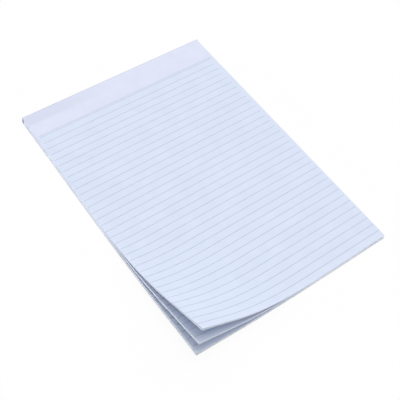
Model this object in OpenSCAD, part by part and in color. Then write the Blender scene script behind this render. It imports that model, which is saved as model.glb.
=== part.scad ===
// Ruled writing pad, glued along its head edge onto a thin backing board.
// The foot-left corner has been thumbed, so its sheets curl up in separate leaves.
// Frame: origin under the middle of the pad, +X across, +Y towards the head, +Z up.

/* [Sheets] */
// Width of a sheet
page_w = 210; // [190:1:216]
// Length of a sheet, from head to foot
page_l = 297; // [210:1:356]
// Thickness of one sheet of writing paper
sheet_t = 0.095; // [0.06:0.005:0.12]

/* [Leaves of the curled corner] */
// Sheets that stay down on the board
block_sheets = 17; // [4:1:40]
// Sheets in the second leaf
second_sheets = 16; // [4:1:20]
// Sheets in the third leaf, close under the top one
third_sheets = 11; // [3:1:12]
// Sheets in the top leaf
top_sheets = 6; // [3:1:12]

/* [Curl] */
// Distance from the corner to the bend, along the long side
curl_side = 164; // [110:1:190]
// Distance from the corner to the bend, along the foot
curl_foot = 127; // [110:1:180]
// Length of sheet that bends; past it a leaf runs straight to its corner
bend_length = 71; // [60:1:90]
// Angle that the block and its board turn through
block_bend = 9; // [5:0.5:14]
// Angle that the second leaf turns through
second_bend = 20; // [16:0.5:28]
// Angle that the third leaf turns through
third_bend = 33; // [29:0.5:33]
// Angle that the top leaf turns through
top_bend = 34; // [33.5:0.5:50]

/* [Backing board] */
// Thickness of the card
board_t = 0.5; // [0.3:0.05:1.5]
// How far the card stands out past the sheets, at the sides and the foot
board_proud = 0.3; // [0.2:0.1:3]

/* [Binding] */
// Thickness of the dried glue over the head edge
glue_t = 0.25; // [0.15:0.05:0.6]
// How far the glue was brushed round each side
glue_lap = 3; // [2:0.5:20]

/* [Hidden] */
// Steps from the bend line to the corner, and how far a leaf runs back into the flat block
curl_steps = 32;
leaf_root = 6;
// Leaves count as together until the gap between them has opened this far
first_gap = 0.05;

leaf_sheets = [block_sheets, second_sheets, third_sheets, top_sheets];
leaf_bends = [block_bend, second_bend, third_bend, top_bend];
leaf_count = len(leaf_sheets);

// Height of the flat pad below each leaf, and up to the top sheet
function sheets_below(leaf) = leaf == 0 ? 0 : sheets_below(leaf - 1) + leaf_sheets[leaf - 1];
function leaf_base(leaf) = board_t + sheets_below(leaf) * sheet_t;
pad_t = leaf_base(leaf_count);

// Edges of the sheets, with the whole footprint centred on the origin
side_x = page_w / 2;
foot_y = (board_proud - page_l - glue_t) / 2;
head_y = foot_y + page_l;

// The bend line cuts the foot-left corner off; "away" points from it to the corner
bend_len = norm([curl_side, curl_foot]);
away = [-curl_side, -curl_foot] / bend_len;
corner_run = curl_side * curl_foot / bend_len;

// Distance past the bend line of a point on the flat sheet
function run_at(p) = corner_run + (p - [-side_x, foot_y]) * away;

// Points of the left edge and of the foot edge at one distance past the bend line,
// on a sheet that stands out past the others by "proud"
function side_point(run, proud) =
    let (x = -side_x - proud)
    [x, foot_y + (run - corner_run + proud * away.x) / away.y];
function foot_point(run, proud) =
    let (y = foot_y - proud)
    [-side_x + (run - corner_run + proud * away.y) / away.x, y];

// A point of the flat sheet after the bend. Each layer turns on its own arc, then runs straight on.
// It keeps its length, so the layers inside the bend reach further and the edges fan out.
function bend_radius(bend) = bend_length / bend * 180 / PI;
function bent(p, run, bend, layer, base) =
    let (
        radius = bend_radius(bend),
        arc = radius - layer,
        flat_run = max(0, run),
        turn = min(bend, flat_run / arc * 180 / PI),
        ahead = flat_run - arc * turn * PI / 180,
        shift = arc * sin(turn) + ahead * cos(turn) - flat_run
    )
    [p.x + away.x * shift, p.y + away.y * shift, base + radius - arc * cos(turn) + ahead * sin(turn)];

// The curled corner of a stack of leaves, as one solid, from its root in the flat block to its tips.
// Each leaf is [bend, base, low, high]: its angle, the height that its arc starts from,
// and the two layers between which its sheets lie. Where two leaves are still together they share a face.
module curled_stack(leaves, proud) {
    tip = [-side_x - proud, foot_y - proud];
    tip_run = run_at(tip);
    runs = concat(
        [-leaf_root],
        [for (i = [0 : curl_steps - 1]) corner_run * i / curl_steps],
        proud > 0 ? [corner_run] : []
    );
    rows = len(runs);
    count = len(leaves);

    function curvature(leaf) = 1 / bend_radius(leaf[0]);
    function split_run(k) = sqrt(2 * first_gap / (curvature(leaves[k]) - curvature(leaves[k - 1])));
    function apart(k, row) = k > 0 && k < count && runs[row] > split_run(k);
    function ring(leaf, run) =
        let (side = side_point(run, proud), foot = foot_point(run, proud))
        [
            bent(side, run, leaf[0], leaf[2], leaf[1]),
            bent(foot, run, leaf[0], leaf[2], leaf[1]),
            bent(foot, run, leaf[0], leaf[3], leaf[1]),
            bent(side, run, leaf[0], leaf[3], leaf[1])
        ];

    points = concat(
        [for (leaf = leaves, run = runs) each ring(leaf, run)],
        [for (leaf = leaves, layer = [leaf[2], leaf[3]]) bent(tip, tip_run, leaf[0], layer, leaf[1])]
    );

    // Numbers of the points: the high and low corners of a ring, and the two points of a tip
    function foot_high(k, row) = 4 * (k * rows + row) + 2;
    function side_high(k, row) = 4 * (k * rows + row) + 3;
    function foot_low(k, row) = k == 0 || apart(k, row) ? 4 * (k * rows + row) + 1 : foot_high(k - 1, row);
    function side_low(k, row) = k == 0 || apart(k, row) ? 4 * (k * rows + row) : side_high(k - 1, row);
    function tip_low(k) = 4 * count * rows + 2 * k;
    function tip_high(k) = tip_low(k) + 1;

    last = rows - 1;
    root_faces = [
        for (k = [0 : count - 1]) [side_low(k, 0), foot_low(k, 0), foot_high(k, 0), side_high(k, 0)]
    ];
    edge_faces = [
        for (k = [0 : count - 1], a = [0 : last - 1])
            let (b = a + 1)
            each [
                [foot_low(k, a), foot_low(k, b), foot_high(k, b), foot_high(k, a)],
                [side_high(k, a), side_high(k, b), side_low(k, b), side_low(k, a)]
            ]
    ];
    under_faces = [
        for (k = [0 : count - 1], a = [0 : last - 1])
            let (b = a + 1)
            if (k == 0 || apart(k, b)) [side_low(k, a), side_low(k, b), foot_low(k, b), foot_low(k, a)]
    ];
    upper_faces = [
        for (k = [0 : count - 1], a = [0 : last - 1])
            let (b = a + 1)
            if (k == count - 1 || apart(k + 1, b))
                [foot_high(k, a), foot_high(k, b), side_high(k, b), side_high(k, a)]
    ];
    tip_faces = [
        for (k = [0 : count - 1])
            each [
                [side_low(k, last), tip_low(k), foot_low(k, last)],
                [foot_low(k, last), tip_low(k), tip_high(k), foot_high(k, last)],
                [foot_high(k, last), tip_high(k), side_high(k, last)],
                [side_high(k, last), tip_high(k), tip_low(k), side_low(k, last)]
            ]
    ];
    polyhedron(points, concat(root_faces, edge_faces, under_faces, upper_faces, tip_faces));
}

// The part of a sheet that lies flat, up to the bend line
module flat_outline(proud) {
    polygon([
        side_point(0, proud),
        foot_point(0, proud),
        [side_x + proud, foot_y - proud],
        [side_x + proud, head_y],
        [-side_x - proud, head_y]
    ]);
}

// Thin grey card under the sheets; its corner follows the block's slight curl
module backing_board() {
    color("#c9ccca") {
        linear_extrude(board_t) flat_outline(board_proud);
        curled_stack([[block_bend, 0, 0, board_t]], board_proud);
    }
}

// All the sheets as one block, open in four leaves at the foot-left corner.
// The lowest leaf lies on the board, on the board's own arc.
module page_block() {
    color("#e0e5f7") {
        translate([0, 0, board_t]) linear_extrude(pad_t - board_t) flat_outline(0);
        curled_stack(
            [
                [block_bend, 0, board_t, leaf_base(1)],
                for (leaf = [1 : leaf_count - 1])
                    [leaf_bends[leaf], leaf_base(leaf), 0, leaf_sheets[leaf] * sheet_t]
            ],
            0
        );
    }
}

// Padding glue brushed over the head edge and a little way round both sides
module binding_glue() {
    color("#8f90a3") {
        translate([-side_x - glue_t, head_y, 0])
            cube([page_w + 2 * glue_t, glue_t, pad_t]);
        for (x = [-side_x - glue_t, side_x])
            translate([x, head_y - glue_lap, board_t])
                cube([glue_t, glue_lap, pad_t - board_t]);
    }
}

backing_board();
page_block();
binding_glue();
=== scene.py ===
import math
import random

import bmesh
import bpy
from mathutils import Matrix, Vector


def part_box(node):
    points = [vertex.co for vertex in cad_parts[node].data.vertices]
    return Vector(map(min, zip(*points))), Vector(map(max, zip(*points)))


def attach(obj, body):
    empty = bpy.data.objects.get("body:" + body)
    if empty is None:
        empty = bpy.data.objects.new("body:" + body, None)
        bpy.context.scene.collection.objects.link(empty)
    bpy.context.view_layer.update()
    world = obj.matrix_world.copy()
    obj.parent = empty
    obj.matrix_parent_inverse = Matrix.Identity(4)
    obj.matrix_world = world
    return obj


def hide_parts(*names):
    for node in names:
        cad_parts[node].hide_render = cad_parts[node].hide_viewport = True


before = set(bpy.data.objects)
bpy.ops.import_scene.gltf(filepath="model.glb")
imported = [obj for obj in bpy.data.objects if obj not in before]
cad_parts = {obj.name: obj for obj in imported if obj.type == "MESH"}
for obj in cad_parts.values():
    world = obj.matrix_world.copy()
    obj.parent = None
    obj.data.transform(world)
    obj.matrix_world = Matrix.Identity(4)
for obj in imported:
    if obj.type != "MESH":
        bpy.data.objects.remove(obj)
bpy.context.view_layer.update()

# Backing board: a thin grey card of recycled pulp, cut a little larger than the sheets.
# It carries the pad, and its foot-left corner has taken the same slight curl as the block on it.
MM = 0.001
board_low, board_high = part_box("backing_board")
page_low, page_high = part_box("page_block")
board_thickness = page_low.z
board_bend = 8.8
crease_angle = math.radians(25)

# The bend of the thumbed corner starts on a line that cuts across it; past the bend a leaf runs straight
curl_side = 164 * MM
curl_foot = 127 * MM
bend_length = 71 * MM
curl_rows = 56
corner = Vector((page_low.x, page_low.y, 0))
away = Vector((-curl_side, -curl_foot, 0)).normalized()
corner_run = curl_side * curl_foot / math.hypot(curl_side, curl_foot)


def slab(bm, low, high):
    made = bmesh.ops.create_cube(bm, size=1)["verts"]
    bmesh.ops.scale(bm, verts=made, vec=high - low)
    bmesh.ops.translate(bm, verts=made, vec=(low + high) / 2)


def cut_for_curl(bm):
    for row in range(curl_rows + 1):
        line = corner + away * corner_run * (row / curl_rows - 1)
        everything = bm.verts[:] + bm.edges[:] + bm.faces[:]
        bmesh.ops.bisect_plane(bm, geom=everything, plane_co=line, plane_no=away)


def curl(verts, bend, base):
    # each layer keeps its length: it turns on its own arc from the bend line, then runs straight on
    radius = bend_length / math.radians(bend)
    for v in verts:
        run = (v.co - corner).dot(away) + corner_run
        if run > 0:
            arc = radius - (v.co.z - base)
            turn = min(math.radians(bend), run / arc)
            ahead = run - arc * turn
            shift = arc * math.sin(turn) + ahead * math.cos(turn) - run
            v.co.x += away.x * shift
            v.co.y += away.y * shift
            v.co.z = base + radius - arc * math.cos(turn) + ahead * math.sin(turn)


def finished_piece(name, bm, *materials):
    mesh = bpy.data.meshes.new(name)
    for face in bm.faces:
        face.smooth = True
    bm.to_mesh(mesh)
    bm.free()
    mesh.set_sharp_from_angle(angle=crease_angle)
    for material in materials:
        mesh.materials.append(material)
    piece = bpy.data.objects.new(name, mesh)
    bpy.context.scene.collection.objects.link(piece)
    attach(piece, "root")
    return piece


def linear(hex_colour):
    channels = [int(hex_colour[i:i + 2], 16) / 255 for i in (1, 3, 5)]
    return [c / 12.92 if c <= 0.04045 else ((c + 0.055) / 1.055) ** 2.4 for c in channels] + [1.0]


def add_node(tree, kind, links=None, **settings):
    node = tree.nodes.new(kind)
    for name, value in settings.items():
        if name in node.inputs:
            node.inputs[name].default_value = value
        else:
            setattr(node, name, value)
    for name, source in (links or {}).items():
        tree.links.new(source, node.inputs[name])
    return node


def new_material(name):
    material = bpy.data.materials.new(name)
    material.use_nodes = True
    return material, material.node_tree, material.node_tree.nodes["Principled BSDF"]


# Grey pulp board, matt, with short fibres and darker specks that show at arm's length
grey_card, tree, shader = new_material("grey_pulp_board")
speck_size = 1.1 * MM
cloud_size = 9 * MM
speck_relief = 0.05 * MM
place = add_node(tree, "ShaderNodeTexCoord").outputs["Object"]
specks = add_node(
    tree, "ShaderNodeTexNoise", {"Vector": place}, Scale=1 / speck_size, Detail=4, Roughness=0.7
)
clouds = add_node(tree, "ShaderNodeTexNoise", {"Vector": place}, Scale=1 / cloud_size, Detail=2)
mixed = add_node(
    tree, "ShaderNodeMath", {0: specks.outputs["Fac"], 1: clouds.outputs["Fac"]}, operation="MULTIPLY"
)
tone = add_node(tree, "ShaderNodeValToRGB", {"Fac": mixed.outputs[0]})
tone.color_ramp.elements[0].position = 0.12
tone.color_ramp.elements[0].color = linear("#c2c4c0")
tone.color_ramp.elements[1].position = 0.38
tone.color_ramp.elements[1].color = linear("#dee0dc")
grain = add_node(
    tree, "ShaderNodeBump", {"Height": specks.outputs["Fac"]}, Strength=0.35, Distance=speck_relief
)
tree.links.new(tone.outputs["Color"], shader.inputs["Base Color"])
tree.links.new(grain.outputs["Normal"], shader.inputs["Normal"])
shader.inputs["Roughness"].default_value = 0.88
shader.inputs["Specular IOR Level"].default_value = 0.25

bm = bmesh.new()
slab(bm, board_low, Vector((board_high.x, board_high.y, board_thickness)))
cut_for_curl(bm)
curl(bm.verts, board_bend, 0)
board_card = finished_piece("board_card", bm, grey_card)
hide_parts("backing_board")

# Sheets: uncoated writing paper with a faint blue-violet white, guillotined together in one block.
# They lie loose apart from the head edge, so at the thumbed corner they stand up in four leaves.
# The guillotine's cut leans, so the sheets get a little narrower and shorter towards the top.
glue_low, glue_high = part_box("binding_glue")
leaf_sheets = [17, 16, 11, 6]
leaf_bends = [9.6, 20.9, 33.3, 34.0]
leaf_fans = [0.7, 0.6, 0.1, 0.05]
page_size = page_high - page_low
block_thickness = glue_high.z - board_thickness
sheet_count = sum(leaf_sheets)
sheet_pitch = block_thickness / sheet_count
air = 0.004 * MM
cut_wander = 0.05 * MM
side_lean = 0.9 * MM
foot_lean = 0.2 * MM
jitter = random.Random(7)

# Writing paper: matt, with soft clouds from uneven pulp and fibres along the sheet's length.
# Real fibres are far finer; these are drawn as coarse as they need to be to show.
writing_paper, tree, shader = new_material("uncoated_writing_paper")
pulp_cloud = 14 * MM
fibre_width = 0.7 * MM
fibre_stretch = 3.0
fibre_relief = 0.03 * MM
place = add_node(tree, "ShaderNodeTexCoord").outputs["Object"]
along = add_node(tree, "ShaderNodeMapping", {"Vector": place}, Scale=(1, 1 / fibre_stretch, 1))
fibres = add_node(
    tree,
    "ShaderNodeTexNoise",
    {"Vector": along.outputs["Vector"]},
    Scale=1 / fibre_width,
    Detail=3,
    Roughness=0.6,
)
clouds = add_node(tree, "ShaderNodeTexNoise", {"Vector": place}, Scale=1 / pulp_cloud, Detail=3)
pulp = add_node(
    tree,
    "ShaderNodeMix",
    {"A": clouds.outputs["Fac"], "B": fibres.outputs["Fac"]},
    data_type="FLOAT",
    Factor=0.35,
)
tone = add_node(tree, "ShaderNodeValToRGB", {"Fac": pulp.outputs["Result"]})
tone.color_ramp.elements[0].position = 0.3
tone.color_ramp.elements[0].color = linear("#dee3f7")
tone.color_ramp.elements[1].position = 0.7
tone.color_ramp.elements[1].color = linear("#e4e9fb")

# Painted shade: the binding pulls the head of the sheet down a little, and the shade of that dip is painted
# as a faint darker band there, clearest at its left end
head_shade_depth = 13 * MM
head_shade_fade = 4 * MM
head_shade_reach = 120 * MM
spot = add_node(tree, "ShaderNodeSeparateXYZ", {"Vector": place})
shade_at_head = add_node(
    tree, "ShaderNodeMapRange", {"Value": spot.outputs["Y"]}, interpolation_type="SMOOTHSTEP"
)
shade_at_head.inputs["From Min"].default_value = page_high.y - head_shade_depth - head_shade_fade / 2
shade_at_head.inputs["From Max"].default_value = page_high.y - head_shade_depth + head_shade_fade / 2
shade_at_left = add_node(
    tree, "ShaderNodeMapRange", {"Value": spot.outputs["X"]}, interpolation_type="SMOOTHSTEP"
)
shade_at_left.inputs["From Min"].default_value = page_low.x
shade_at_left.inputs["From Max"].default_value = page_low.x + head_shade_reach
shade_at_left.inputs["To Min"].default_value = 1.0
shade_at_left.inputs["To Max"].default_value = 0.0
painted_head_shade = add_node(
    tree,
    "ShaderNodeMath",
    {0: shade_at_head.outputs["Result"], 1: shade_at_left.outputs["Result"]},
    operation="MULTIPLY",
)
# mixes the painted shade of the head dip into the paper's colour
head_shaded_tone = add_node(
    tree, "ShaderNodeMix", {"Factor": painted_head_shade.outputs[0], "A": tone.outputs["Color"]}, data_type="RGBA"
)
head_shaded_tone.inputs["B"].default_value = linear("#dadef2")

# The ruled field below the header reads as a cooler white than the plain header
field_top = 30 * MM
field_fade = 3 * MM
field_tint = (0.96, 1.0, 1.0, 1.0)
in_field = add_node(
    tree, "ShaderNodeMapRange", {"Value": spot.outputs["Y"]}, interpolation_type="SMOOTHSTEP"
)
in_field.inputs["From Min"].default_value = page_high.y - field_top - field_fade / 2
in_field.inputs["From Max"].default_value = page_high.y - field_top + field_fade / 2
in_field.inputs["To Min"].default_value = 1.0
in_field.inputs["To Max"].default_value = 0.0
sheet_tone = add_node(
    tree,
    "ShaderNodeMix",
    {"Factor": in_field.outputs["Result"], "A": head_shaded_tone.outputs["Result"]},
    data_type="RGBA",
    blend_type="MULTIPLY",
)
sheet_tone.inputs["B"].default_value = field_tint
tooth = add_node(
    tree, "ShaderNodeBump", {"Height": fibres.outputs["Fac"]}, Strength=0.2, Distance=fibre_relief
)
tree.links.new(sheet_tone.outputs["Result"], shader.inputs["Base Color"])
tree.links.new(tooth.outputs["Normal"], shader.inputs["Normal"])
shader.inputs["Roughness"].default_value = 0.9
shader.inputs["Specular IOR Level"].default_value = 0.2

# Guillotined edge: paler than the faces, partly from the loose white fibres the cut leaves and partly as a
# painted highlight of the light that catches the cut edges
cut_edge, tree, shader = new_material("guillotined_paper_edge")
cut_streak = 2.5 * MM
place = add_node(tree, "ShaderNodeTexCoord").outputs["Object"]
streaks = add_node(tree, "ShaderNodeTexNoise", {"Vector": place}, Scale=1 / cut_streak, Detail=2)
tone = add_node(tree, "ShaderNodeValToRGB", {"Fac": streaks.outputs["Fac"]})
# pale edge tones: real cut fibres plus a painted highlight
tone.color_ramp.elements[0].position = 0.35
tone.color_ramp.elements[0].color = linear("#eceff8")
tone.color_ramp.elements[1].position = 0.65
tone.color_ramp.elements[1].color = linear("#f5f7fc")
tree.links.new(tone.outputs["Color"], shader.inputs["Base Color"])
shader.inputs["Roughness"].default_value = 0.95
shader.inputs["Specular IOR Level"].default_value = 0.2

# One flat sheet, cut into strips for the curl; its upright faces take the finish of the guillotined edge
flat_sheet = bmesh.new()
slab(
    flat_sheet,
    Vector((page_low.x, page_low.y, 0)),
    Vector((page_high.x, page_high.y, sheet_pitch - air)),
)
cut_for_curl(flat_sheet)
flat_sheet.normal_update()
for face in flat_sheet.faces:
    lies_flat = abs(face.normal.z) > 0.5
    face.material_index = 0 if lies_flat else 1
sheet_mesh = bpy.data.meshes.new("flat_sheet")
flat_sheet.to_mesh(sheet_mesh)
flat_sheet.free()

# Within a leaf the bend grows by the leaf's fan from its lowest sheet to its top one
stack = bmesh.new()
leaf_tops = []
height = board_thickness
laid = 0
for sheets, leaf_bend, fan in zip(leaf_sheets, leaf_bends, leaf_fans):
    for i in range(sheets):
        laid += 1
        bend = leaf_bend - fan * (sheets - 1 - i) / (sheets - 1)
        bm = bmesh.new() if laid == sheet_count else stack
        before = len(bm.verts)
        bm.from_mesh(sheet_mesh)
        bm.verts.ensure_lookup_table()
        verts = bm.verts[before:]
        wander_x = jitter.uniform(-cut_wander, cut_wander)
        wander_y = jitter.uniform(-cut_wander, cut_wander)
        share = (height - board_thickness) / block_thickness
        narrowing = Vector((1 - side_lean * share / page_size.x, 1 - foot_lean * share / page_size.y, 1))
        bmesh.ops.scale(bm, verts=verts, vec=narrowing, space=Matrix.Translation(-page_high))
        bmesh.ops.translate(bm, verts=verts, vec=(wander_x, wander_y, height))
        curl(verts, bend, height)
        height += sheet_pitch
    leaf_tops.append((bend, height - sheet_pitch))
lower_sheets = finished_piece("lower_sheets", stack, writing_paper, cut_edge)
top_sheet = finished_piece("top_sheet", bm, writing_paper, cut_edge)
bpy.data.meshes.remove(sheet_mesh)
for piece in (lower_sheets, top_sheet):
    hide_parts("page_block")

# Ruling: pale blue-grey feint lines and a fine double line under the header, printed on every sheet.
# The ink lies on the paper and follows its bend; on the lower leaves only the bared corner is drawn.
# Towards the foot the rules get longer, by the spread at each end, and come nearer to the sheet's sides.
rule_count = 33
rule_pitch = 7.83 * MM
first_rule = 39.31 * MM
rule_width = 0.28 * MM
rule_margin_left = 3 * MM
rule_margin_right = 5.6 * MM
rule_spread = 0.165 * MM
least_margin = 1.2 * MM
header_lines = [29.3 * MM, 31.3 * MM]
header_width = 0.25 * MM
header_margin = 3.5 * MM
ink_sunk = 0.01 * MM
ink_raised = 0.02 * MM

# Feint ink: thin offset ink, matt like the paper under it.
# Real ink is far thinner; here it stands up a little, so that it stays clear of the sheet.
feint_ink, tree, shader = new_material("feint_offset_ink")
ink_patch = 6 * MM
place = add_node(tree, "ShaderNodeTexCoord").outputs["Object"]
patches = add_node(tree, "ShaderNodeTexNoise", {"Vector": place}, Scale=1 / ink_patch, Detail=3)
tone = add_node(tree, "ShaderNodeValToRGB", {"Fac": patches.outputs["Fac"]})
tone.color_ramp.elements[0].position = 0.35
tone.color_ramp.elements[0].color = linear("#829bb0")
tone.color_ramp.elements[1].position = 0.65
tone.color_ramp.elements[1].color = linear("#97afc1")
tree.links.new(tone.outputs["Color"], shader.inputs["Base Color"])
shader.inputs["Roughness"].default_value = 0.85
shader.inputs["Specular IOR Level"].default_value = 0.2

lines = bmesh.new()
for leaf, (bend, base) in enumerate(leaf_tops):
    paper_top = base + sheet_pitch - air
    ink_low = paper_top - ink_sunk
    ink_high = paper_top + ink_raised
    uppermost = leaf == len(leaf_tops) - 1
    inked = bmesh.new()
    for k in range(rule_count):
        y = page_high.y - first_rule - k * rule_pitch
        bared = y < page_low.y + curl_side
        if uppermost or bared:
            left_margin = max(least_margin, rule_margin_left - k * rule_spread)
            right_margin = rule_margin_right - k * rule_spread
            rule_end = page_high.x - right_margin if uppermost else page_low.x + curl_foot
            slab(
                inked,
                Vector((page_low.x + left_margin, y - rule_width / 2, ink_low)),
                Vector((rule_end, y + rule_width / 2, ink_high)),
            )
    if uppermost:
        for distance in header_lines:
            y = page_high.y - distance
            slab(
                inked,
                Vector((page_low.x + header_margin, y - header_width / 2, ink_low)),
                Vector((page_high.x - header_margin, y + header_width / 2, ink_high)),
            )
    cut_for_curl(inked)
    curl(inked.verts, bend, base)
    inked_mesh = bpy.data.meshes.new("inked")
    inked.to_mesh(inked_mesh)
    inked.free()
    lines.from_mesh(inked_mesh)
    bpy.data.meshes.remove(inked_mesh)
ruling = finished_piece("ruling", lines, feint_ink)

# Binding: padding glue brushed over the head edge while the block was clamped, with short laps
# round both sides. It has dried to a thin grey-violet rubbery film.
lap_low = Vector((glue_low.x, glue_low.y, board_thickness))
film_thickness = glue_high.y - page_high.y
film_rounding = film_thickness / 4

# Dried padding glue: rubbery and half matt, with the streaks of the brush
padding_glue, tree, shader = new_material("dried_padding_glue")
brush_width = 1.6 * MM
brush_relief = 0.1 * MM
place = add_node(tree, "ShaderNodeTexCoord").outputs["Object"]
streaks = add_node(tree, "ShaderNodeTexNoise", {"Vector": place}, Scale=1 / brush_width, Detail=3)
tone = add_node(tree, "ShaderNodeValToRGB", {"Fac": streaks.outputs["Fac"]})
tone.color_ramp.elements[0].position = 0.3
tone.color_ramp.elements[0].color = linear("#9293a7")
tone.color_ramp.elements[1].position = 0.7
tone.color_ramp.elements[1].color = linear("#adaebf")
waves = add_node(
    tree, "ShaderNodeBump", {"Height": streaks.outputs["Fac"]}, Strength=0.5, Distance=brush_relief
)
tree.links.new(tone.outputs["Color"], shader.inputs["Base Color"])
tree.links.new(waves.outputs["Normal"], shader.inputs["Normal"])
shader.inputs["Roughness"].default_value = 0.5

# The left end of the film leans with the cut edges that it covers
film = bmesh.new()
slab(film, Vector((glue_low.x, page_high.y, glue_low.z)), glue_high)
for x in (glue_low.x, page_high.x):
    slab(
        film,
        Vector((x, lap_low.y, lap_low.z)),
        Vector((x + film_thickness, page_high.y, glue_high.z)),
    )
leaning = [v for v in film.verts if v.co.x < 0 and v.co.z > glue_high.z / 2]
bmesh.ops.translate(film, verts=leaning, vec=(side_lean, 0, 0))
bmesh.ops.bevel(
    film,
    geom=film.edges[:],
    offset=film_rounding,
    segments=2,
    profile=0.5,
    material=-1,
    affect="EDGES",
)
glue_film = finished_piece("glue_film", film, padding_glue)
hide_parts("binding_glue")

# Studio: a white floor that keeps a faint soft shadow, an even surround, and two broad soft boxes, one
# overhead and one over the right side. Two low lamps, at the left and the foot, pick out the cut edges.
floor_size = 6.0
floor_bounce = 0.25
floor_lit_share = 0.06
surround_light = 0.42


def seen_directly(tree):
    # 1 where the camera, a reflection or a clear piece shows the white, and 0 where it only lights the pad
    ray = add_node(tree, "ShaderNodeLightPath")
    seen = ray.outputs["Is Camera Ray"]
    for kind in ("Is Glossy Ray", "Is Transmission Ray"):
        either = add_node(tree, "ShaderNodeMath", {0: seen, 1: ray.outputs[kind]}, operation="MAXIMUM")
        seen = either.outputs[0]
    return seen


floor_white, tree, shader = new_material("white_floor")
seen = seen_directly(tree)
shown = add_node(tree, "ShaderNodeMix", {"Factor": seen}, data_type="RGBA")
shown.inputs["A"].default_value = (floor_bounce, floor_bounce, floor_bounce, 1)
shown.inputs["B"].default_value = (floor_lit_share, floor_lit_share, floor_lit_share, 1)
glow = add_node(tree, "ShaderNodeMath", {0: seen}, operation="MULTIPLY")
glow.inputs[1].default_value = 1 - floor_lit_share
tree.links.new(shown.outputs["Result"], shader.inputs["Base Color"])
tree.links.new(glow.outputs[0], shader.inputs["Emission Strength"])
shader.inputs["Emission Color"].default_value = (1, 1, 1, 1)
shader.inputs["Roughness"].default_value = 1.0
shader.inputs["Specular IOR Level"].default_value = 0.0
bm = bmesh.new()
bmesh.ops.create_grid(bm, x_segments=1, y_segments=1, size=floor_size / 2)
floor_mesh = bpy.data.meshes.new("floor")
bm.to_mesh(floor_mesh)
bm.free()
floor_mesh.materials.append(floor_white)
floor = bpy.data.objects.new("floor", floor_mesh)
bpy.context.scene.collection.objects.link(floor)

world = bpy.data.worlds.new("surround")
world.use_nodes = True
bpy.context.scene.world = world
tree = world.node_tree
surround = tree.nodes["Background"]
whitened = add_node(tree, "ShaderNodeMath", {0: seen_directly(tree)}, operation="MAXIMUM")
whitened.inputs[1].default_value = surround_light
tree.links.new(whitened.outputs[0], surround.inputs["Strength"])
surround.inputs["Color"].default_value = (1, 1, 1, 1)


def sun(name, towards_light, strength, spread):
    data = bpy.data.lights.new(name, "SUN")
    data.energy = strength
    data.angle = math.radians(spread)
    lamp = bpy.data.objects.new(name, data)
    lamp.rotation_euler = Vector(towards_light).to_track_quat("Z", "Y").to_euler()
    bpy.context.scene.collection.objects.link(lamp)


sun("top_light", towards_light=(0, 0, 1), strength=0.67, spread=50)
sun("right_light", towards_light=(0.66, 0.38, 0.65), strength=1.32, spread=80)
sun("left_light", towards_light=(-0.76, 0.65, 0.06), strength=2.6, spread=6)
sun("foot_light", towards_light=(0.5, -0.86, 0.06), strength=1.7, spread=6)

# Camera: the photograph's own view, from above the foot-left side with a slight roll.
# The values come from fitting a pad of this size to the photograph's edges and rules.
view_azimuth = math.radians(-40.51)
view_elevation = math.radians(55.60)
view_roll = math.radians(6.28)
view_place = Vector((-255.5, -308.3, 548.7)) * MM
view_lens = 64.36
back = Vector(
    (
        math.sin(view_azimuth) * math.cos(view_elevation),
        -math.cos(view_azimuth) * math.cos(view_elevation),
        math.sin(view_elevation),
    )
)
level_right = Vector((0, 0, 1)).cross(back).normalized()
level_up = back.cross(level_right)
right = math.cos(view_roll) * level_right + math.sin(view_roll) * level_up
up = back.cross(right)
camera_data = bpy.data.cameras.new("camera")
camera_data.lens = view_lens
camera_data.sensor_width = 36
camera_data.clip_start = 0.01
camera = bpy.data.objects.new("camera", camera_data)
turn = Matrix((right, up, back)).transposed().to_4x4()
camera.matrix_world = Matrix.Translation(view_place) @ turn
bpy.context.scene.collection.objects.link(camera)
bpy.context.scene.camera = camera
bpy.context.scene.view_settings.view_transform = "Standard"
